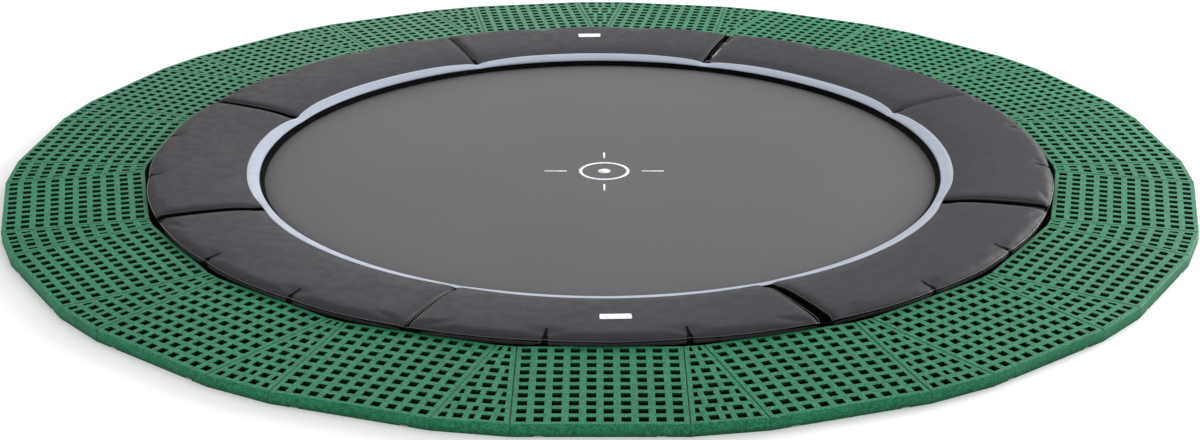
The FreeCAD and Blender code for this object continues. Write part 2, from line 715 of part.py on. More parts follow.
doc = FreeCAD.newDocument("ground_trampoline")
sheet = make_sheet(doc)
pieces = [square_tile(number) for number in range(1, int(size("tile_count")) + 1)]
pieces.append(wedge_tiles())
for number in range(1, int(size("rail_count")) + 1):
    pieces.append(top_rail(number))
    pieces.append(leg(number))
for number in range(1, int(size("pad_count")) + 1):
    pieces.append(pad_cover(number))
for make in (
    frame_screws,
    springs,
    v_rings,
    jumping_mat,
    mat_hem,
    mat_tabs,
    pad_foam,
    pad_binding,
    pad_skirt,
    pad_straps,
):
    pieces.append(make())
doc.recompute()
check(doc, pieces)
write(pieces)
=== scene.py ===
"""Looks of a ground-level trampoline with a ring of rubber safety tiles, built around its CAD frame.

Everything is in metres, in the frame of the CAD model: +Z up, -Y front, ground level at z = 0.
The tiles, tubes, legs and screws keep their CAD meshes. The soft pieces and the springs are built here.
Round pieces are built along +X first, as (distance from the centre, height), and then turned into place.
"""
import math

import bmesh
import bpy
import numpy as np
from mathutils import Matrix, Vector, noise


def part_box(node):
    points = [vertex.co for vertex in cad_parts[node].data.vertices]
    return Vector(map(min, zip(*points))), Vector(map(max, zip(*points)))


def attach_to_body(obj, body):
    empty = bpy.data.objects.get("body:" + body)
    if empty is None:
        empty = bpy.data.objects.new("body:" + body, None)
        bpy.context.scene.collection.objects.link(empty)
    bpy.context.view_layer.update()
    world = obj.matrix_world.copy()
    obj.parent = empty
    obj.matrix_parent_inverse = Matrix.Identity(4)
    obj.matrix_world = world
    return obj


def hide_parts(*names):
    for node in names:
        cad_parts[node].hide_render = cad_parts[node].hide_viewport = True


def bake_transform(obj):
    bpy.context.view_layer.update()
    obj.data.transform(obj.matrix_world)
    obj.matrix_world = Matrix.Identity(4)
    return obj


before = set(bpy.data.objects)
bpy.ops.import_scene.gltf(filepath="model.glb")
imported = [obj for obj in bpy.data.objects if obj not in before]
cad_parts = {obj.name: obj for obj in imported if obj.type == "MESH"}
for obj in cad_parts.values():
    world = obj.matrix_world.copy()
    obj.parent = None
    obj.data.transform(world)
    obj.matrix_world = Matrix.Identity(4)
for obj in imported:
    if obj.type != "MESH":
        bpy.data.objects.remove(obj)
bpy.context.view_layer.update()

# ---------------------------------------------------------------- sizes, and places read from the frame
FRONT = math.radians(-90)
CAMERA_PLACE = (0.0, -7.530, 2.759)
CAMERA_DIP = math.radians(21.77)
PIT_DEPTH = 0.62
FLOOR_RADIUS = 60.0

SPRING_COUNT = 72
STRAP_ANGLE = math.radians(12.5)
STRAP_WIDTH = 0.025
SECTION_COUNT = 8
HALF_SECTION = math.pi / SECTION_COUNT
PAD_TURN = math.radians(1.8)
# The darts and seams cut a pad's outer edge into parts of this angle.
FACET = math.radians(15)
# Half of the gap after each pad section, counted round from the front.
HALF_GAPS = [math.radians(half) for half in (0.75, 0.80, 0.10, 0.60, 0.16, 0.58, 0.78, 0.10)]
# How far the nose of each section hangs below its highest position.
NOSE_DROOP = (0.0100, 0.0090, 0.0010, 0.0085, 0.0030, 0.0, 0.0015, 0.0020)

MAT_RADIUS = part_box("jumping_mat")[1].x
MAT_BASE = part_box("jumping_mat")[0].z
MAT_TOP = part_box("jumping_mat")[1].z
HEM_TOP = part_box("mat_hem")[1].z
HEM_WIDTH = 0.050
TAB_END = -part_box("mat_tabs")[0].y
TAB_WIDTH = 0.034
RING_WIRE = 0.005
RING_TIP = -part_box("v_rings")[0].y - RING_WIRE / 2
HOOK_TIP = 0.004
HOOK_END = -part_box("springs")[0].y - HOOK_TIP / 2
COIL_END = 1.750
RAIL_TUBE = 0.048
RAIL_RADIUS = -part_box("top_rail_01")[0].y - RAIL_TUBE / 2
RAIL_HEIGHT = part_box("top_rail_01")[1].z - RAIL_TUBE / 2
SPRING_HEIGHT = 0.5 * (MAT_BASE + MAT_TOP)
PAD_OUTER = -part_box("pad_cover_01")[0].y
SKIRT_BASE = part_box("pad_skirt")[0].z
SKIRT_RADIUS = -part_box("pad_skirt")[0].y
TILE_INNER = -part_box("square_tile_01")[1].y
HALF_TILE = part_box("square_tile_01")[1].x

# Section of a pad as (distance, height): over the top from its nose, and back along its underside.
PAD_TOP_LINE = (
    (1.3995, 0.0255),
    (1.4010, 0.0300),
    (1.4080, 0.0345),
    (1.4490, 0.0410),
    (1.5200, 0.0520),
    (1.6000, 0.0605),
    (1.7000, 0.0665),
    (1.7800, 0.0695),
    (1.8160, 0.0690),
    (1.8330, 0.0640),
    (1.8380, 0.0530),
    (1.8370, 0.0350),
)
PAD_BASE_LINE = (
    (1.8330, 0.0290),
    (1.7900, 0.0288),
    (1.7570, 0.0178),
    (1.5400, 0.0175),
    (1.4900, 0.0150),
    (1.4150, 0.0205),
    (1.4020, 0.0218),
)
PAD_ROWS = 44
PAD_COLUMNS = 64
# The outer edge bulges out above the tiles, from BULGE_START on and between two heights.
EDGE_BULGE = 0.009
BULGE_START = 1.70
BULGE_LOW = 0.035
BULGE_HIGH = 0.055
# Darts in the outer edge, with small folds beside them.
DART_LENGTH = 0.062
DART_WIDTH = 0.008
DART_PINCH = 0.008
DART_SINK = 0.003
FOLD_HEIGHT = 0.0011
FOLD_LENGTH = 0.10
FOLD_SPREAD = 0.045
FOLD_WIDTH = 0.011
# The black wedge painted as shade in a dart's groove widens from its inner end to the pad's edge.
DART_SHADE_START = 0.0034
DART_SHADE_GROWTH = 0.0065
# Ends of the sections: the nose is pinched and dips, and the edges behind the binding are rounded.
NOSE_END = 1.56
SEAM_PINCH = 0.004
SEAM_DIP = 0.005
END_ROUNDING = 0.012
END_DROP = 0.004
ROUNDING_START = 1.44
DROOP_START = 1.52
DROOP_LENGTH = 0.09
DROOP_HEIGHT = 0.016
UNEVENNESS = 0.0014
# The seam along the outer edge, as (distance, height), and the top of the stiff wall under it.
EDGE_SEAM = (1.835, 0.058)
WALL_TOP = 0.052
# The filling presses a cover outwards, but moves no point further than the limit.
SWELL_PRESSURE = 3.0
SWELL_LIMIT = 0.006
SWELL_FRAMES = 20
# The binding is narrower at the seams.
BINDING_WIDTH = 0.055
BINDING_DIP = 0.020
BINDING_LIFT = 0.0014
STITCH_PITCH = 0.009
STITCH_LENGTH = 0.0055
EDGE_CORD_RADIUS = 0.0020
END_CORD_RADIUS = 0.0012
LABELLED_PADS = (1, 5)
LABEL_DISTANCE = 1.672
LABEL_WIDTH = 0.108
LABEL_LENGTH = 0.046

SKIRT_FOLD = 0.0025
SKIRT_CREASE = 0.0010
NET_WIDTH = 0.0200
NET_FOLD = 0.0018
SPRING_WIRE_RADIUS = 0.0018
SPRING_HOOK_RADIUS = 0.0065
SPRING_COIL_RADIUS = 0.0112
SPRING_TURNS = 32
# Middle of the printed centre mark on the mat, as (x, y).
MARK_MIDDLE = (0.017, -0.086)


def main():
    """Builds the whole scene."""
    make_camera()
    make_lights()
    make_stage()
    dress_frame()
    edge = make_pads()
    make_skirt(edge)
    make_net()
    make_straps()
    make_springs()
    make_mat()


# ---------------------------------------------------------------- points and meshes
def polar(distance, angle, height=0.0):
    """A point at a distance and direction from the centre of the trampoline."""
    return Vector((distance * math.cos(angle), distance * math.sin(angle), height))


def turned(points, angle):
    """Points turned about the vertical axis."""
    points = np.asarray(points, float)
    across = points[:, 0] * math.cos(angle) - points[:, 1] * math.sin(angle)
    along = points[:, 0] * math.sin(angle) + points[:, 1] * math.cos(angle)
    return np.column_stack([across, along, points[:, 2]])


def new_object(name, points, faces, material, closed=True):
    """A smooth mesh object made of points and faces."""
    mesh = bpy.data.meshes.new(name)
    mesh.from_pydata([tuple(point) for point in points], [], [tuple(face) for face in faces])
    if closed:
        form = bmesh.new()
        form.from_mesh(mesh)
        bmesh.ops.recalc_face_normals(form, faces=form.faces)
        form.to_mesh(mesh)
        form.free()
    mesh.polygons.foreach_set("use_smooth", [True] * len(mesh.polygons))
    mesh.materials.append(material)
    obj = bpy.data.objects.new(name, mesh)
    bpy.context.scene.collection.objects.link(obj)
    return obj


def grid_faces(columns, rows, round_columns=False, round_rows=False):
    """Quads of a grid whose points are stored column by column."""
    faces = []
    for column in range(columns if round_columns else columns - 1):
        ahead = (column + 1) % columns
        for row in range(rows if round_rows else rows - 1):
            above = (row + 1) % rows
            corners = ((column, row), (ahead, row), (ahead, above), (column, above))
            faces.append([c * rows + r for c, r in corners])
    return faces


def copies(points, faces, angles):
    """Points and faces of a shape repeated about the vertical axis."""
    all_points = np.concatenate([turned(points, angle) for angle in angles])
    all_faces = []
    for number in range(len(angles)):
        first = number * len(points)
        all_faces += [[first + index for index in face] for face in faces]
    return all_points, all_faces


def spaced(line, count):
    """A line's points at equal spacing."""
    line = np.asarray(line, float)
    steps = np.linalg.norm(np.diff(line, axis=0), axis=1)
    along = np.concatenate([[0], np.cumsum(steps)])
    wanted = np.linspace(0, along[-1], count)
    return np.column_stack([np.interp(wanted, along, line[:, axis]) for axis in range(line.shape[1])])


def smooth_line(points, count):
    """Evenly spaced points along a smooth line through the given points."""
    control = np.array([points[0], *points, points[-1]], float)
    dense = []
    for a, b, c, d in zip(control, control[1:], control[2:], control[3:]):
        for t in np.linspace(0, 1, 12, endpoint=False):
            bend = (2 * a - 5 * b + 4 * c - d) * t**2 + (3 * b - a - 3 * c + d) * t**3
            dense.append(b + (c - a) * t / 2 + bend / 2)
    dense.append(control[-2])
    return spaced(dense, count)


def tube(line, radius, sides, closed=False):
    """Points and faces of a round tube along a line."""
    line = np.asarray(line, float)
    if closed:
        ahead = np.roll(line, -1, axis=0) - np.roll(line, 1, axis=0)
    else:
        ahead = np.gradient(line, axis=0)
    ahead /= np.linalg.norm(ahead, axis=1)[:, None]
    side = np.cross(ahead[0], (0.3, 0.2, 0.93))
    points = []
    angles = np.linspace(0, 2 * math.pi, sides, endpoint=False)
    for centre, forward in zip(line, ahead):
        side = side - forward * (side @ forward)
        side /= np.linalg.norm(side)
        up = np.cross(forward, side)
        points += [centre + radius * (math.cos(a) * side + math.sin(a) * up) for a in angles]
    faces = grid_faces(len(line), sides, round_columns=closed, round_rows=True)
    if not closed:
        faces.append(list(range(sides)))
        faces.append(list(range(len(points) - sides, len(points))))
    return np.array(points), faces


def ribbon(line, width, thick, closed=False):
    """Points and faces of a band along a line of (distance, height), as wide as width across it."""
    line = np.asarray(line, float)
    if closed:
        ahead = np.roll(line, -1, axis=0) - np.roll(line, 1, axis=0)
    else:
        ahead = np.gradient(line, axis=0)
    out = np.column_stack([-ahead[:, 1], ahead[:, 0]]) / np.linalg.norm(ahead, axis=1)[:, None]
    points = []
    for place, normal in zip(line, out):
        for side, lift in ((-1, -1), (1, -1), (1, 1), (-1, 1)):
            distance, height = place + normal * lift * thick / 2
            points.append((distance, side * width / 2, height))
    faces = grid_faces(len(line), 4, round_columns=closed, round_rows=True)
    if not closed:
        faces.append([0, 1, 2, 3])
        faces.append([len(points) - 4 + index for index in range(4)])
    return np.array(points), faces


def prism(outline, base, top, hole=None):
    """Points and faces of a flat plate with an outline of (x, y) points and perhaps a hole."""
    count = len(outline)
    rings = [outline, outline] if hole is None else [outline, outline, hole, hole]
    heights = (base, top, top, base)
    points = [(x, y, height) for ring, height in zip(rings, heights) for x, y in ring]
    faces = []
    for ring in range(1 if hole is None else 4):
        low = ring * count
        high = ((ring + 1) % len(rings)) * count
        for index in range(count):
            following = (index + 1) % count
            faces.append([low + index, low + following, high + following, high + index])
    if hole is None:
        faces.append(list(range(count)))
        faces.append(list(range(count, 2 * count)))
    return np.array(points), faces


def subdivide(obj, levels=1):
    """Rounds a mesh off with a subdivision surface."""
    modifier = obj.modifiers.new("rounding", "SUBSURF")
    modifier.levels = levels
    modifier.render_levels = levels


def wobble(x, y, z=0.0):
    """A smooth random height between about -1 and 1."""
    return noise.noise(Vector((x, y, z)))


# ---------------------------------------------------------------- materials
def screen_colour(red, green, blue):
    """A linear colour from screen values of 0 to 255."""
    values = [value / 255 for value in (red, green, blue)]
    linear = [v / 12.92 if v <= 0.04045 else ((v + 0.055) / 1.055) ** 2.4 for v in values]
    return (*linear, 1.0)


# Greens of the rubber's granules, from the darkest to the palest: the top faces get the paler set as painted
# sheen, the sides the deeper set as painted shade.
SHADED_SIDE_GREENS = (screen_colour(6, 74, 44), screen_colour(22, 112, 74), screen_colour(50, 142, 104))
SHEEN_TOP_GREENS = (screen_colour(2, 76, 46), screen_colour(16, 112, 74), screen_colour(62, 142, 106))


def add_node(tree, kind, settings=None, **inputs):
    """A shader node. Each input, named with _ for a space, is a value or another node's output."""
    made = tree.nodes.new(kind)
    for name, value in (settings or {}).items():
        setattr(made, name, value)
    for name, value in inputs.items():
        socket = made.inputs[name.replace("_", " ")]
        if isinstance(value, bpy.types.NodeSocket):
            tree.links.new(value, socket)
        else:
            socket.default_value = value
    return made


def new_material(name, **inputs):
    """A material with a Principled shader, with its node tree, shader and object coordinates."""
    material = bpy.data.materials.new(name)
    material.use_nodes = True
    tree = material.node_tree
    shader = tree.nodes["Principled BSDF"]
    for key, value in inputs.items():
        shader.inputs[key.replace("_", " ")].default_value = value
    place = add_node(tree, "ShaderNodeTexCoord").outputs["Object"]
    return material, tree, shader, place


def ramp(tree, factor, stops):
    """A colour that changes with a factor, given as pairs of position and colour."""
    made = add_node(tree, "ShaderNodeValToRGB", Fac=factor)
    elements = made.color_ramp.elements
    while len(elements) < len(stops):
        elements.new(0.5)
    for element, (position, colour) in zip(elements, stops):
        element.position = position
        element.color = colour
    return made.outputs["Color"]


def mixed(tree, factor, first, second, mode="MIX"):
    """Two colours mixed by a factor."""
    made = add_node(tree, "ShaderNodeMixRGB", {"blend_type": mode}, Fac=factor, Color1=first, Color2=second)
    return made.outputs["Color"]


def noise_of(tree, place, scale, detail=3.0):
    """A noise value."""
    return add_node(tree, "ShaderNodeTexNoise", Vector=place, Scale=scale, Detail=detail).outputs["Fac"]


def bump(tree, shader, height, distance, strength=1.0, under=None):
    """Raises the surface by a height value of 0 to 1 times a distance."""
    made = add_node(tree, "ShaderNodeBump", Height=height, Distance=distance, Strength=strength)
    if under is not None:
        tree.links.new(under, made.inputs["Normal"])
    tree.links.new(made.outputs["Normal"], shader.inputs["Normal"])
    return made.outputs["Normal"]


def grey(value):
    """A grey colour."""
    return (value, value, value, 1.0)


def rubber():
    """Bonded green granules, paler on top as painted sheen and deeper green on the sides as painted shade,
    with painted shade beside the pads and in the holes.
    """
    material, tree, shader, place = new_material("tile_rubber", Roughness=0.60, Specular_IOR_Level=0.22)
    granules = add_node(tree, "ShaderNodeTexVoronoi", Vector=place, Scale=230.0)
    cells = add_node(tree, "ShaderNodeSeparateColor", Color=granules.outputs["Color"]).outputs["Red"]
    clumps = noise_of(tree, place, 60.0)
    patches = noise_of(tree, place, 2.2, 4.0)
    grain = mixed(tree, 0.45, cells, clumps)
    stops = (0.10, 0.50, 0.90)
    # Painted sheen and shade: upward faces take the paler top greens, side faces the deeper side greens.
    side = ramp(tree, grain, list(zip(stops, SHADED_SIDE_GREENS)))
    top = ramp(tree, grain, list(zip(stops, SHEEN_TOP_GREENS)))
    upward = add_node(tree, "ShaderNodeNewGeometry").outputs["Normal"]
    height = add_node(tree, "ShaderNodeSeparateXYZ", Vector=upward).outputs["Z"]
    facing = add_node(tree, "ShaderNodeMapRange", Value=height, From_Min=0.2, From_Max=0.8).outputs["Result"]
    body = mixed(tree, facing, side, top)
    shades = ramp(tree, patches, [(0.3, grey(0.86)), (0.7, grey(1.0))])
    worn = mixed(tree, 1.0, body, shades, "MULTIPLY")
    # Painted shade: the holes are darkened wherever the occlusion is strong.
    painted_shade_ao = add_node(tree, "ShaderNodeAmbientOcclusion", {"samples": 8}, Distance=0.045).outputs["AO"]
    depth = ramp(tree, painted_shade_ao, [(0.35, grey(0.02)), (0.72, grey(0.9)), (0.95, grey(1.0))])
    # Painted shade: tile tops beside the pads get a deep green tint, darker nearer the pads.
    under_pads = add_node(tree, "ShaderNodeAmbientOcclusion", {"samples": 16}, Distance=0.14).outputs["AO"]
    painted_shade_by_pads = ramp(tree, under_pads, [(0.70, (0.10, 0.52, 0.20, 1.0)), (0.97, grey(1.0))])
    shaded_in_holes = mixed(tree, 1.0, worn, depth, "MULTIPLY")
    colour = mixed(tree, facing, shaded_in_holes, painted_shade_by_pads, "MULTIPLY")
    tree.links.new(colour, shader.inputs["Base Color"])
    bump(tree, shader, granules.outputs["Distance"], 0.0012, 0.7)
    return material


def coated_fabric(name, dark, light, roughness, gloss, creases=0.002):
    """Coated fabric: a fine satin grain, soft creases and slight colour variation."""
    material, tree, shader, place = new_material(name, Specular_IOR_Level=gloss)
    broad = noise_of(tree, place, 2.6, 4.0)
    tree.links.new(ramp(tree, broad, [(0.3, dark), (0.7, light)]), shader.inputs["Base Color"])
    scuffs = noise_of(tree, place, 24.0, 5.0)
    low = grey(roughness - 0.05)
    high = grey(roughness + 0.07)
    tree.links.new(ramp(tree, scuffs, [(0.35, low), (0.7, high)]), shader.inputs["Roughness"])
    soft = bump(tree, shader, noise_of(tree, place, 11.0, 2.0), creases, 0.5)
    grain = add_node(tree, "ShaderNodeTexVoronoi", Vector=place, Scale=900.0).outputs["Distance"]
    bump(tree, shader, grain, 0.0002, 0.35, under=soft)
    return material


def woven(name, gap, thread, pitch, roughness, slant=0.0):
    """Plain weave of a given pitch, broadly uneven as large panels of cloth are, with painted shade where
    sheltered.
    """
    material, tree, shader, place = new_material(name, Roughness=roughness, Specular_IOR_Level=0.25)
    turn = add_node(tree, "ShaderNodeMapping", Vector=place, Rotation=(0, 0, slant)).outputs["Vector"]
    scale = math.pi / 10 / pitch
    bands = []
    for direction in ("X", "Y"):
        settings = {"bands_direction": direction}
        bands.append(add_node(tree, "ShaderNodeTexWave", settings, Vector=turn, Scale=scale).outputs["Fac"])
    weave = add_node(tree, "ShaderNodeMath", {"operation": "MULTIPLY"})
    for socket, band in zip(weave.inputs, bands):
        tree.links.new(band, socket)
    cloth = ramp(tree, weave.outputs["Value"], [(0.05, gap), (0.5, thread)])
    broad = ramp(tree, noise_of(tree, place, 1.3, 4.0), [(0.3, grey(0.93)), (0.7, grey(1.0))])
    uneven = mixed(tree, 1.0, cloth, broad, "MULTIPLY")
    # Painted shade: the cloth darkens next to walls that shelter it, such as the pads above the mat's rim.
    painted_shade_ao = add_node(tree, "ShaderNodeAmbientOcclusion", {"samples": 16}, Distance=0.25).outputs["AO"]
    shade = ramp(tree, painted_shade_ao, [(0.80, grey(0.18)), (0.93, grey(0.70)), (0.995, grey(1.0))])
    tree.links.new(mixed(tree, 1.0, uneven, shade, "MULTIPLY"), shader.inputs["Base Color"])
    bump(tree, shader, weave.outputs["Value"], pitch / 6, 0.3)
    return material


def steel(name, colour, roughness, spangle):
    """Zinc-coated steel with crystals of a given number per metre."""
    material, tree, shader, place = new_material(name, Metallic=1.0)
    crystals = add_node(tree, "ShaderNodeTexVoronoi", Vector=place, Scale=spangle)
    cells = add_node(tree, "ShaderNodeSeparateColor", Color=crystals.outputs["Color"]).outputs["Red"]
    dull = tuple(0.8 * value for value in colour[:3]) + (1.0,)
    tree.links.new(ramp(tree, cells, [(0.0, dull), (1.0, colour)]), shader.inputs["Base Color"])
    smears = noise_of(tree, place, 40.0, 4.0)
    low = grey(roughness - 0.08)
    high = grey(roughness + 0.12)
    tree.links.new(ramp(tree, smears, [(0.3, low), (0.7, high)]), shader.inputs["Roughness"])
    return material


def printed():
    """Pale ink printed on cloth."""
    material, tree, shader, place = new_material("print", Roughness=0.6)
    wear = noise_of(tree, place, 90.0, 5.0)
    colours = [(0.35, screen_colour(205, 206, 210)), (0.6, screen_colour(240, 241, 244))]
    tree.links.new(ramp(tree, wear, colours), shader.inputs["Base Color"])
    bump(tree, shader, wear, 0.0002, 0.4)
    return material


def netting():
    """Black net, with pale specks painted as light showing through its small meshes."""
    material, tree, shader, place = new_material("net", Roughness=0.8, Specular_IOR_Level=0.02)
    mesh_openings = add_node(tree, "ShaderNodeTexVoronoi", {"feature": "F1"}, Vector=place, Scale=120.0)
    # Painted light: pale specks in the cell middles stand for light showing through the meshes.
    colours = [(0.05, grey(0.12)), (0.16, grey(0.0015))]
    tree.links.new(ramp(tree, mesh_openings.outputs["Distance"], colours), shader.inputs["Base Color"])
    bump(tree, shader, mesh_openings.outputs["Distance"], 0.0008, 0.8)
    return material


def flat_material(name, colour, mottle, scale, roughness=0.9):
    """Matt material for the ground, with soft mottling."""
    material, tree, shader, place = new_material(name, Roughness=roughness, Specular_IOR_Level=0.1)
    dark = tuple(mottle * value for value in colour[:3]) + (1.0,)
    shades = ramp(tree, noise_of(tree, place, scale, 5.0), [(0.3, dark), (0.7, colour)])
    tree.links.new(shades, shader.inputs["Base Color"])
    return material


RUBBER = rubber()
PAD_VINYL = coated_fabric(
    "pad_vinyl", (0.034, 0.0336, 0.0395, 1.0), (0.0365, 0.036, 0.042, 1.0), 0.62, 0.10, creases=0.0001
)
PALE_VINYL = coated_fabric("pale_vinyl", (0.30, 0.335, 0.41, 1.0), (0.345, 0.385, 0.465, 1.0), 0.50, 0.30)
# A little paler than the pad vinyl, as a painted highlight along the pads' edges.
PIPING = coated_fabric("piping", grey(0.045), grey(0.075), 0.4, 0.3, creases=0.0)
BLACK_VINYL = coated_fabric("black_vinyl", grey(0.0008), grey(0.0018), 0.35, 0.03, creases=0.004)
MAT_CLOTH = woven("mat_cloth", (0.080, 0.078, 0.084, 1.0), (0.105, 0.102, 0.110, 1.0), 0.0016, 0.70)
WEBBING = woven("webbing", grey(0.008), grey(0.022), 0.0024, 0.7, math.radians(45))
ELASTIC = woven("elastic", grey(0.006), grey(0.018), 0.0018, 0.75)
GALVANISED = steel("galvanised", (0.58, 0.60, 0.62, 1.0), 0.42, 70.0)
ZINC = steel("zinc", (0.72, 0.73, 0.75, 1.0), 0.28, 300.0)
PRINT = printed()
NET = netting()


# ---------------------------------------------------------------- camera, light, ground
def make_camera():
    """The camera, in front of the trampoline and looking down on it."""
    data = bpy.data.cameras.new("camera")
    data.lens = 57.68
    data.sensor_width = 36.0
    camera = bpy.data.objects.new("camera", data)
    camera.location = CAMERA_PLACE
    camera.rotation_euler = (math.pi / 2 - CAMERA_DIP, 0.0, 0.0)
    bpy.context.scene.collection.objects.link(camera)
    bpy.context.scene.camera = camera


def area_light(name, place, size, energy):
    """A square soft light that faces the centre of the trampoline."""
    data = bpy.data.lights.new(name, "AREA")
    data.size = size
    data.energy = energy
    light = bpy.data.objects.new(name, data)
    light.location = place
    light.rotation_euler = (-Vector(place)).to_track_quat("-Z", "Y").to_euler()
    bpy.context.scene.collection.objects.link(light)


def make_lights():
    """Even white light from all round, with low soft boxes behind and behind at the right."""
    bpy.context.scene.view_settings.view_transform = "Standard"
    world = bpy.data.worlds.new("studio")
    world.use_nodes = True
    world.node_tree.nodes["Background"].inputs["Color"].default_value = (1.0, 1.0, 1.0, 1.0)
    world.node_tree.nodes["Background"].inputs["Strength"].default_value = 1.0
    bpy.context.scene.world = world
    area_light("back", (-1.5, 9.0, 2.8), 4.0, 120.0)
    area_light("back_right", (7.5, 4.5, 3.0), 4.0, 900.0)


def make_stage():
    """A pale floor with the round pit that the trampoline stands in."""
    hole = math.hypot(TILE_INNER, HALF_TILE) + 0.002
    columns = 96
    angles = np.linspace(0, 2 * math.pi, columns, endpoint=False)
    ring = grid_faces(columns, 2, round_columns=True)
    floor = [polar(distance, angle) for angle in angles for distance in (FLOOR_RADIUS, hole)]
    white = flat_material("floor", grey(0.92), 0.98, 0.8)
    floor_object = new_object("floor", floor, ring, white, closed=False)
    pit = [polar(hole, angle, height) for angle in angles for height in (0, -PIT_DEPTH)]
    bottom = [2 * column + 1 for column in range(columns)]
    soil = flat_material("soil", (0.030, 0.026, 0.022, 1.0), 0.6, 20.0)
    pit_object = new_object("pit", pit, [*ring, bottom], soil, closed=False)


def dress_frame():
    """Gives the CAD parts that stay their materials."""
    for name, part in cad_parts.items():
        if name.startswith(("square_tile", "wedge")):
            material = RUBBER
        elif name.startswith(("top_rail", "leg")):
            material = GALVANISED
        else:
            material = ZINC
        part.data.materials.clear()
        part.data.materials.append(material)


# ---------------------------------------------------------------- pads
def edge_shift(angle):
    """How far a pad's outer edge bulges out between its darts and seams."""
    within = (angle + FACET / 2) % FACET / FACET - 0.5
    return EDGE_BULGE * (1 - 4 * within**2)


def dart_angles():
    """Angles of a section's two darts from its middle."""
    return (-FACET / 2, FACET / 2)


def pad_ends(number):
    """Angles of a section's two ends from its middle. Some neighbouring sections touch."""
    return HALF_GAPS[number - 2] - HALF_SECTION, HALF_SECTION - HALF_GAPS[number - 1]


def pad_angles(number):
    """Angles of a section's columns from its middle, closer together at the darts."""
    angles = list(np.linspace(*pad_ends(number), PAD_COLUMNS))
    for dart in dart_angles():
        angles = [angle for angle in angles if abs(angle - dart) > math.radians(0.5)]
        angles += [dart + math.radians(step) for step in (-0.45, -0.22, -0.09, 0, 0.09, 0.22, 0.45)]
    return sorted(angles)


def ease(value):
    """A smooth step from 0 to 1."""
    share = min(1.0, max(0.0, value))
    return share * share * (3 - 2 * share)


def pad_point(distance, height, angle, section, is_top):
    """Shapes one point of a plain pad section. The underside keeps its height."""
    shift = edge_shift(angle) * ease((distance - BULGE_START) / (PAD_OUTER - BULGE_START))
    shift *= ease((height - BULGE_LOW) / (BULGE_HIGH - BULGE_LOW))
    lift = uneven(distance, angle, section) - end_drop(distance, angle, section)
    above_base = ease((height - PAD_BASE_LINE[-1][1]) / DROOP_HEIGHT)
    lift -= nose_droop(section, angle) * ease((DROOP_START - distance) / DROOP_LENGTH) * above_base
    seam = (abs(angle) / HALF_SECTION) ** 8 * ease((NOSE_END - distance) / (NOSE_END - PAD_TOP_LINE[0][0]))
    shift -= SEAM_PINCH * seam
    lift -= SEAM_DIP * seam
    for dart in dart_angles():
        pinch, drop = dart_shape(distance, (angle - dart) * PAD_OUTER)
        shift -= pinch
        lift -= drop
    return distance + shift, height + (lift if is_top else 0.0)


def end_drop(distance, angle, section):
    """How far a section's top is rounded down towards its nearer end, behind the binding."""
    to_end = min(abs(angle - end) for end in pad_ends(section)) * distance
    rounding = max(0.0, 1 - to_end / END_ROUNDING) ** 2
    return END_DROP * rounding * ease((distance - ROUNDING_START) / 0.04)


def dart_shape(distance, arc):
    """How far a dart draws the edge in and down, at a distance along the edge from the dart."""
    depth = ease((distance - PAD_OUTER + DART_LENGTH) / DART_LENGTH)
    groove = math.exp(-((arc / DART_WIDTH) ** 2)) * depth
    folds = math.exp(-((arc / FOLD_SPREAD) ** 2)) * math.cos(arc / FOLD_WIDTH)
    fold = FOLD_HEIGHT * folds * ease((distance - PAD_OUTER + FOLD_LENGTH) / FOLD_LENGTH)
    return DART_PINCH * groove, DART_SINK * groove - fold


def uneven(distance, angle, section):
    """Soft unevenness of a section's top behind its binding."""
    height = UNEVENNESS * wobble(distance * 4, angle * 6, 3.1 * section)
    return height * ease((distance - 1.42) / 0.08)


def nose_droop(section, angle):
    """How far a section's nose hangs at an angle from its middle, on its way to its neighbours' droop."""
    place = (section - 1) + angle / (2 * HALF_SECTION)
    return float(np.interp(place, range(SECTION_COUNT), NOSE_DROOP, period=SECTION_COUNT))


def add_cloth(obj, held):
    """Makes a cover cloth that its filling presses outwards, apart from the points that are held."""
    group = obj.vertex_groups.new(name="held")
    group.add(held, 1.0, "REPLACE")
    cloth = obj.modifiers.new("swell", "CLOTH")
    settings = cloth.settings
    settings.quality = 4
    settings.mass = 0.4
    settings.tension_stiffness = 25
    settings.compression_stiffness = 25
    settings.shear_stiffness = 10
    settings.bending_stiffness = 0.8
    settings.use_pressure = True
    settings.uniform_pressure_force = SWELL_PRESSURE
    settings.effector_weights.gravity = 0
    settings.vertex_group_mass = group.name
    cloth.collision_settings.use_collision = False
    cloth.point_cache.frame_start = 1
    cloth.point_cache.frame_end = SWELL_FRAMES
    return cloth, group


def swell(obj, held):
    """Lets the filling push the cover out as cloth, but no point further than the limit."""
    scene = bpy.context.scene
    before = np.array([vertex.co for vertex in obj.data.vertices], float)
    cloth, group = add_cloth(obj, held)
    for number in range(1, SWELL_FRAMES + 1):
        scene.frame_set(number)
    result = obj.evaluated_get(bpy.context.evaluated_depsgraph_get())
    after = np.array([vertex.co for vertex in result.data.vertices], float)
    obj.modifiers.remove(cloth)
    obj.vertex_groups.remove(group)
    scene.frame_set(1)
    move = after - before
    length = np.linalg.norm(move, axis=1)
    move *= (np.minimum(length, SWELL_LIMIT) / np.maximum(length, 1e-9))[:, None]
    obj.data.vertices.foreach_set("co", (before + move).ravel())
    obj.data.update()


def cover_points(number, angles, top, base):
    """Points of a section's cover, column by column: over its top and back along its underside."""
    middle = FRONT + PAD_TURN + (number - 1) * 2 * math.pi / SECTION_COUNT
    points = []
    for angle in angles:
        for line, is_top in ((top, True), (base, False)):
            for distance, height in line:
                place, raised = pad_point(distance, height, angle, number, is_top)
                points.append(polar(place, middle + angle, raised))
    return points


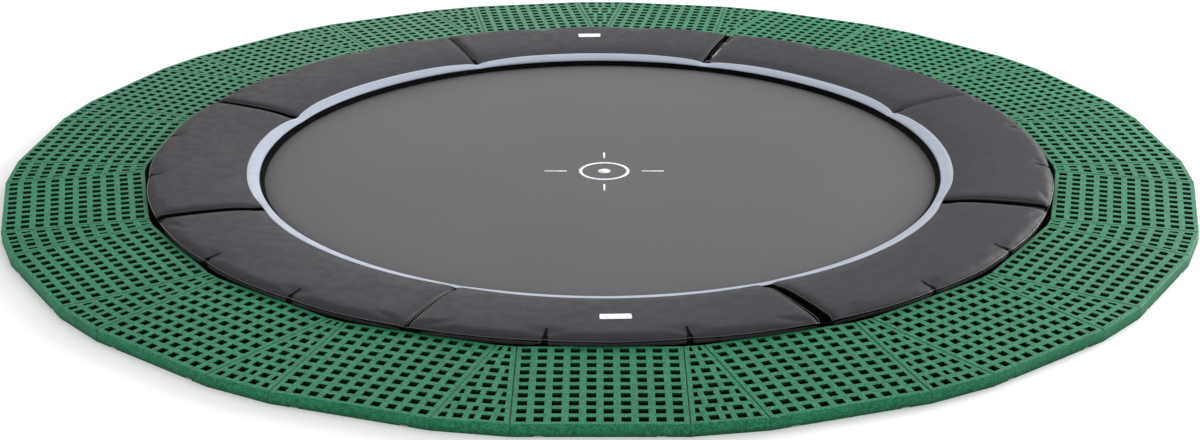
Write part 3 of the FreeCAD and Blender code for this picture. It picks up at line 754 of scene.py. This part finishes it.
def cover_faces(columns, rows):
    """Faces of a section's cover, with its two closed ends last."""
    faces = grid_faces(columns, rows, round_rows=True)
    for first in (0, (columns - 1) * rows):
        for row in range(PAD_ROWS - 1):
            under = rows - 1 - row
            faces.append([first + index for index in (row, row + 1, under - 1, under)])
    return faces


def held_points(columns, rows, top):
    """Points of a cover that its filling doesn't move: its nose, its outer wall and its underside."""
    wall = [row for row, (distance, height) in enumerate(top) if height < WALL_TOP and distance > BULGE_START]
    held_rows = [*wall, *range(PAD_ROWS, rows), 0, 1]
    return [column * rows + row for column in range(columns) for row in held_rows]


def make_pad(number):
    """One pad section with its binding, piping and darts, and the points of its outer edge."""
    angles = pad_angles(number)
    top = smooth_line(PAD_TOP_LINE, PAD_ROWS)
    base = smooth_line(PAD_BASE_LINE, PAD_ROWS)
    columns = len(angles)
    rows = len(top) + len(base)
    points = cover_points(number, angles, top, base)
    pad = new_object(f"pad_{number}", points, cover_faces(columns, rows), PAD_VINYL)
    pad.data.materials.append(BLACK_VINYL)
    for face in pad.data.polygons[-2 * (PAD_ROWS - 1) :]:
        face.material_index = 1
    swell(pad, held_points(columns, rows, top))
    shaped = np.array([vertex.co for vertex in pad.data.vertices], float).reshape(columns, rows, 3)
    subdivide(pad)
    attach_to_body(pad, "frame")
    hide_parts(f"pad_cover_{number:02d}", "pad_foam")
    edge_row = int(np.argmin(np.abs(top - np.array(EDGE_SEAM)).sum(axis=1)))
    add_binding(pad, number, shaped, angles)
    add_piping(pad, number, shaped, edge_row)
    add_darts(pad, number, shaped, angles, edge_row)
    if number in LABELLED_PADS:
        add_label(pad, number, shaped, angles)
    return shaped[:, edge_row]


def make_pads():
    """All pad sections, and the line of their outer edge all the way round."""
    return np.concatenate([make_pad(number) for number in range(1, SECTION_COUNT + 1)])


def attach(trim, pad):
    """Fixes a trim to its pad."""
    trim.parent = pad


def outward_of(points):
    """Directions out of a strip of points that runs from a pad's underside round its nose and over it."""
    along = np.gradient(points, axis=1)
    across = np.gradient(points, axis=0)
    normal = np.cross(along, across)
    return normal / np.maximum(np.linalg.norm(normal, axis=2), 1e-12)[:, :, None]


def add_binding(pad, number, shaped, angles):
    """The pale binding sewn round a pad's nose, narrower towards the seams, with its row of stitches."""
    rows = 18
    under = 4
    strip = []
    for column, angle in zip(shaped, angles):
        line = np.concatenate([column[-under:], column[: PAD_ROWS // 3]])
        steps = np.linalg.norm(np.diff(line, axis=0), axis=1)
        along = np.concatenate([[0], np.cumsum(steps)])
        to_seam = (abs(angle) / HALF_SECTION) ** 4
        wander = 0.0015 * wobble(angle * 14, number * 2.3)
        nose = along[under]
        end = nose + BINDING_WIDTH - BINDING_DIP * to_seam + wander
        wanted = np.linspace(nose * 0.3, end, rows)
        strip.append(np.column_stack([np.interp(wanted, along, line[:, axis]) for axis in range(3)]))
    strip = np.array(to_neighbours(strip, angles))
    normal = outward_of(strip)
    lift = np.full(rows, BINDING_LIFT)
    lift[0] = lift[-1] = 0.0002
    raised = strip + normal * lift[None, :, None]
    points = raised.reshape(-1, 3)
    binding = new_object(f"binding_{number}", points, grid_faces(len(strip), rows), PALE_VINYL, closed=False)
    subdivide(binding)
    attach(binding, pad)
    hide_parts("pad_binding")
    add_stitches(pad, number, raised[:, rows - 3], normal[:, rows - 3])


def to_neighbours(strip, angles):
    """Carries a binding's two ends on over the gaps, to where the next sections' bindings begin."""
    reach = HALF_SECTION + math.radians(0.08)
    shares = (1.0, 0.66, 0.33)
    before = [turned(strip[0], -share * (reach + angles[0])) for share in shares]
    after = [turned(strip[-1], share * (reach - angles[-1])) for share in reversed(shares)]
    return [*before, *strip, *after]


def add_stitches(pad, number, line, normal):
    """A row of short stitches along a line."""
    total = np.linalg.norm(np.diff(line, axis=0), axis=1).sum()
    count = int(total / STITCH_PITCH)
    both = spaced(np.column_stack([line, normal]), count)
    points = []
    faces = []
    for place, ahead in zip(both[:-1], np.diff(both[:, :3], axis=0)):
        half = ahead / np.linalg.norm(ahead) * STITCH_LENGTH / 2
        out = place[3:] / np.linalg.norm(place[3:])
        middle = place[:3] + out * 0.0003
        stitch, stitch_faces = tube([middle - half, middle, middle + half], 0.0006, 5)
        faces += [[len(points) + index for index in face] for face in stitch_faces]
        points += list(stitch)
    thread = new_object(f"stitches_{number}", points, faces, PRINT)
    attach(thread, pad)


def add_piping(pad, number, shaped, edge_row):
    """The corded seam along a pad's outer edge and its two ends."""
    ends = [(shaped[end, 8 : edge_row + 1], END_CORD_RADIUS) for end in (0, -1)]
    points = []
    faces = []
    for line, radius in ((shaped[:, edge_row], EDGE_CORD_RADIUS), *ends):
        cord, cord_faces = tube(line + np.array([0, 0, 0.2 * radius]), radius, 8)
        faces += [[len(points) + index for index in face] for face in cord_faces]
        points += list(cord)
    piping = new_object(f"piping_{number}", points, faces, PIPING)
    attach(piping, pad)


def add_darts(pad, number, shaped, angles, edge_row):
    """A narrow black wedge in each dart of a pad's outer edge, painted shade for the dart's groove."""
    shares = (-1.0, -0.5, 0.0, 0.5, 1.0)
    points = []
    faces = []
    for dart in dart_angles():
        rows = [row for row in range(edge_row + 5) if dart_share(shaped, angles, dart, row, edge_row) > 0]
        first = len(points)
        for row in rows:
            half = DART_SHADE_START + DART_SHADE_GROWTH * dart_share(shaped, angles, dart, row, edge_row) ** 1.5
            for share in shares:
                angle = dart + share * half / PAD_OUTER
                place = np.array([np.interp(angle, angles, shaped[:, row, axis]) for axis in range(3)])
                outward = np.array([place[0], place[1], 0]) / math.hypot(place[0], place[1])
                points.append(place + outward * 0.0010 + np.array([0, 0, 0.0010]))
        faces += [[first + index for index in face] for face in grid_faces(len(rows), len(shares))]
    wedges = new_object(f"darts_{number}", points, faces, BLACK_VINYL, closed=False)
    attach(wedges, pad)


def dart_share(shaped, angles, dart, row, edge_row):
    """How far along a dart a row of points lies, from 0 at its inner end to 1 at the pad's outer edge."""
    if row >= edge_row:
        return 1.0
    column = int(np.argmin([abs(angle - dart) for angle in angles]))
    edge = math.hypot(*shaped[column, edge_row, :2])
    return 1 - (edge - math.hypot(*shaped[column, row, :2])) / DART_LENGTH


def add_label(pad, number, shaped, angles):
    """A plain pale label on top of a pad, in its middle."""
    middle = int(np.argmin([abs(angle) for angle in angles]))
    reaches = np.hypot(shaped[middle, :PAD_ROWS, 0], shaped[middle, :PAD_ROWS, 1])
    crown = int(np.argmax(reaches))
    points = []
    for across in np.linspace(-1, 1, 13):
        for along in (-1.0, -0.8, 0.0, 0.8, 1.0):
            taper = 0.94 if abs(along) == 1.0 else 1.0
            angle = across * taper * LABEL_WIDTH / 2 / LABEL_DISTANCE
            row = np.interp(LABEL_DISTANCE + along * LABEL_LENGTH / 2, reaches[:crown], np.arange(crown))
            low = int(row)
            line = shaped[:, low] + (shaped[:, low + 1] - shaped[:, low]) * (row - low)
            place = [np.interp(angle, angles, line[:, axis]) for axis in range(3)]
            points.append(np.array(place) + np.array([0, 0, 0.0008]))
    label = new_object(f"label_{number}", points, grid_faces(13, 5), PRINT, closed=False)
    attach(label, pad)


# ---------------------------------------------------------------- skirt, net, straps
def make_skirt(edge):
    """The black skirt that hangs from the pads' outer edge down between frame and tiles."""
    rows = 7
    line = spaced(np.concatenate([edge, edge[:1]]), 721)[:-1]
    points = []
    for place in line:
        angle = math.atan2(place[1], place[0])
        start = math.hypot(place[0], place[1])
        for row in range(rows):
            share = row / (rows - 1)
            height = place[2] + (SKIRT_BASE - place[2]) * share
            fold = wobble(math.cos(angle) * 34, math.sin(angle) * 34, share * 1.2)
            crease = wobble(math.cos(angle) * 90, math.sin(angle) * 90, share * 2.0)
            hang = SKIRT_RADIUS - SKIRT_FOLD * (1 - fold) - SKIRT_CREASE * (1 - crease)
            distance = start + 0.0006 + (hang - start) * ease(share * 2.2)
            points.append(polar(distance if row < 2 else min(distance, SKIRT_RADIUS), angle, height))
    faces = grid_faces(len(line), rows, round_columns=True)
    skirt = new_object("skirt", points, faces, BLACK_VINYL, closed=False)
    thickness = skirt.modifiers.new("thickness", "SOLIDIFY")
    thickness.thickness = 0.0010
    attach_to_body(skirt, "frame")
    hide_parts("pad_skirt")


def make_net():
    """The narrow black net that closes the gap between the pads' inner edge and the mat."""
    columns = 432
    rows = 5
    start = (PAD_TOP_LINE[0][0] + 0.0030, PAD_TOP_LINE[0][1] - 0.0020)
    end = (PAD_TOP_LINE[0][0] - NET_WIDTH, MAT_TOP + 0.0010)
    points = []
    for column in range(columns):
        angle = 2 * math.pi * column / columns
        for row in range(rows):
            share = row / (rows - 1)
            fold = NET_FOLD * wobble(math.cos(angle) * 40, math.sin(angle) * 40, share)
            distance = start[0] + (end[0] - start[0]) * share + fold * share
            points.append(polar(distance, angle, start[1] + (end[1] - start[1]) * share))
    net = new_object("net", points, grid_faces(columns, rows, round_columns=True), NET, closed=False)
    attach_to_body(net, "frame")


def make_straps():
    """The elastic straps that hold the pads to the rail."""
    around = RAIL_TUBE / 2 + 0.0012
    line = []
    for turn in np.linspace(0, 2 * math.pi, 28, endpoint=False):
        line.append((RAIL_RADIUS + around * math.cos(turn), RAIL_HEIGHT + around * math.sin(turn)))
    points, faces = ribbon(line, STRAP_WIDTH, 0.0014, closed=True)
    angles = []
    for section in range(SECTION_COUNT):
        middle = FRONT + section * 2 * math.pi / SECTION_COUNT
        angles += [middle - STRAP_ANGLE, middle + STRAP_ANGLE]
    straps = new_object("straps", *copies(points, faces, angles), ELASTIC)
    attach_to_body(straps, "frame")
    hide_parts("pad_straps")


def sink_with_mat(obj):
    """Bakes a piece's placement into its mesh."""
    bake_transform(obj)


def spring_line():
    """Centre line of a spring's wire: inner hook, coils and outer hook, with the spring along +X."""
    coil_start = RING_TIP + 0.030
    steps = SPRING_TURNS * 10
    line = []
    for turn in np.radians(np.arange(150, 361, 18)):
        along, up = SPRING_HOOK_RADIUS * math.cos(turn), SPRING_HOOK_RADIUS * math.sin(turn)
        line.append((RING_TIP + along, 0.0, up))
    line.append((coil_start - 0.004, 0.0, 0.0))
    for step in range(steps + 1):
        share = step / steps
        turn = 2 * math.pi * SPRING_TURNS * share
        reach = SPRING_COIL_RADIUS * min(1.0, step / 6, (steps - step) / 6)
        distance = coil_start + (COIL_END - coil_start) * share
        line.append((distance, reach * math.cos(turn), reach * math.sin(turn)))
    line.append((COIL_END + 0.008, 0.0, 0.0))
    for distance, height in ((-0.012, 0.0), (-0.003, -0.001), (0.0, -0.005), (0.0, -0.012)):
        line.append((HOOK_END + distance, 0.0, height))
    return np.array(line) + np.array([0, 0, SPRING_HEIGHT])


def make_springs():
    """The coil springs, one piece each, and the V rings that they hook into."""
    points, faces = tube(spring_line(), SPRING_WIRE_RADIUS, 6)
    for number in range(1, SPRING_COUNT + 1):
        angle = FRONT + (number - 1) * 2 * math.pi / SPRING_COUNT
        spring = new_object(f"spring_{number:02d}", turned(points, angle), faces, ZINC)
        sink_with_mat(spring)
        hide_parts("springs")
    rings = bpy.data.objects.new("mat_rings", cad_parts["v_rings"].data.copy())
    bpy.context.scene.collection.objects.link(rings)
    sink_with_mat(rings)
    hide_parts("v_rings")


def disc(radius, columns, rings, base, top):
    """Points and faces of a round plate, with rings of points on both faces."""
    distances = np.linspace(0, radius, rings + 1)[1:]
    angles = np.linspace(0, 2 * math.pi, columns, endpoint=False)
    profile = [(distance, top) for distance in distances] + [(distance, base) for distance in distances[::-1]]
    points = [polar(distance, angle, height) for angle in angles for distance, height in profile]
    rows = len(profile)
    faces = grid_faces(columns, rows, round_columns=True)
    points += [Vector((0, 0, top)), Vector((0, 0, base))]
    for column in range(columns):
        following = (column + 1) % columns
        faces.append([len(points) - 2, column * rows, following * rows])
        faces.append([len(points) - 1, column * rows + rows - 1, following * rows + rows - 1])
    return points, faces


def make_mat():
    """The jumping mat with its hem, the loops for the rings and a printed centre mark."""
    mat = new_object("mat", *disc(MAT_RADIUS, 144, 44, MAT_BASE, MAT_TOP), MAT_CLOTH)
    hem = make_hem()
    tabs = make_tabs()
    mark = make_mark()
    for piece, slot, node in (
        (mat, "mat_mesh", "jumping_mat"),
        (hem, "black_webbing", "mat_hem"),
        (tabs, "black_webbing", "mat_tabs"),
        (mark, "mat_mesh", None),
    ):
        sink_with_mat(piece)
        if node:
            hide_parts(node)


def make_hem():
    """The webbing along the mat's edge, with raised sewn borders."""
    columns = 288
    inner = MAT_RADIUS - HEM_WIDTH
    profile = (
        (inner, MAT_TOP + 0.0001),
        (inner + 0.0005, HEM_TOP - 0.0004),
        (inner + 0.0040, HEM_TOP),
        (inner + 0.0055, HEM_TOP - 0.0007),
        (inner + 0.0070, HEM_TOP),
        (MAT_RADIUS - 0.0070, HEM_TOP),
        (MAT_RADIUS - 0.0055, HEM_TOP - 0.0007),
        (MAT_RADIUS - 0.0040, HEM_TOP),
        (MAT_RADIUS - 0.0002, HEM_TOP - 0.0004),
        (MAT_RADIUS, MAT_TOP + 0.0001),
    )
    angles = np.linspace(0, 2 * math.pi, columns, endpoint=False)
    points = [polar(distance, angle, height) for angle in angles for distance, height in profile]
    faces = grid_faces(columns, len(profile), round_columns=True, round_rows=True)
    return new_object("hem", points, faces, WEBBING)


def make_tabs():
    """The webbing loops that hold the V rings on the mat's edge."""
    over = 0.0038
    bar = TAB_END - 0.0070
    line = [(MAT_RADIUS - 0.030, HEM_TOP + 0.0008), (MAT_RADIUS - 0.003, HEM_TOP + 0.0008)]
    for turn in np.radians(np.arange(90, -91, -20)):
        line.append((bar + over * math.cos(turn), SPRING_HEIGHT + over * math.sin(turn)))
    line += [(MAT_RADIUS - 0.003, MAT_BASE - 0.0008), (MAT_RADIUS - 0.030, MAT_BASE - 0.0008)]
    points, faces = ribbon(line, TAB_WIDTH, 0.0013)
    angles = [FRONT + number * 2 * math.pi / SPRING_COUNT for number in range(SPRING_COUNT)]
    return new_object("tabs", *copies(points, faces, angles), WEBBING)


def rounded_box(centre, width, length, corner, steps=6):
    """Outline of a box with round corners."""
    outline = []
    for turn, (side, end) in enumerate(((1, 1), (-1, 1), (-1, -1), (1, -1))):
        for step in range(steps + 1):
            angle = math.pi / 2 * (turn + step / steps)
            across = centre[0] + side * (width / 2 - corner) + corner * math.cos(angle)
            along = centre[1] + end * (length / 2 - corner) + corner * math.sin(angle)
            outline.append((across, along))
    return outline


def joined(shapes):
    """Points and faces of several shapes as one."""
    points = []
    faces = []
    for shape_points, shape_faces in shapes:
        faces += [[len(points) + index for index in face] for face in shape_faces]
        points += [tuple(point) for point in shape_points]
    return points, faces


def circle(radius):
    """Outline of a circle round the middle of the mark."""
    turns = np.linspace(0, 2 * math.pi, 48, endpoint=False)
    return [(MARK_MIDDLE[0] + radius * math.cos(t), MARK_MIDDLE[1] + radius * math.sin(t)) for t in turns]


def make_mark():
    """A plain aiming mark at the middle of the mat: a ring, a dot and four ticks."""
    base = MAT_TOP + 0.0001
    top = MAT_TOP + 0.0005
    shapes = [prism(circle(0.105), base, top, circle(0.091)), prism(circle(0.026), base, top)]
    for side in (-1, 1):
        beside = (MARK_MIDDLE[0] + side * 0.200, MARK_MIDDLE[1])
        shapes.append(prism(rounded_box(beside, 0.092, 0.009, 0.002), base, top))
        beyond = (MARK_MIDDLE[0], MARK_MIDDLE[1] + side * 0.190)
        shapes.append(prism(rounded_box(beyond, 0.008, 0.070, 0.002), base, top))
    return new_object("centre_mark", *joined(shapes), PRINT)


main()
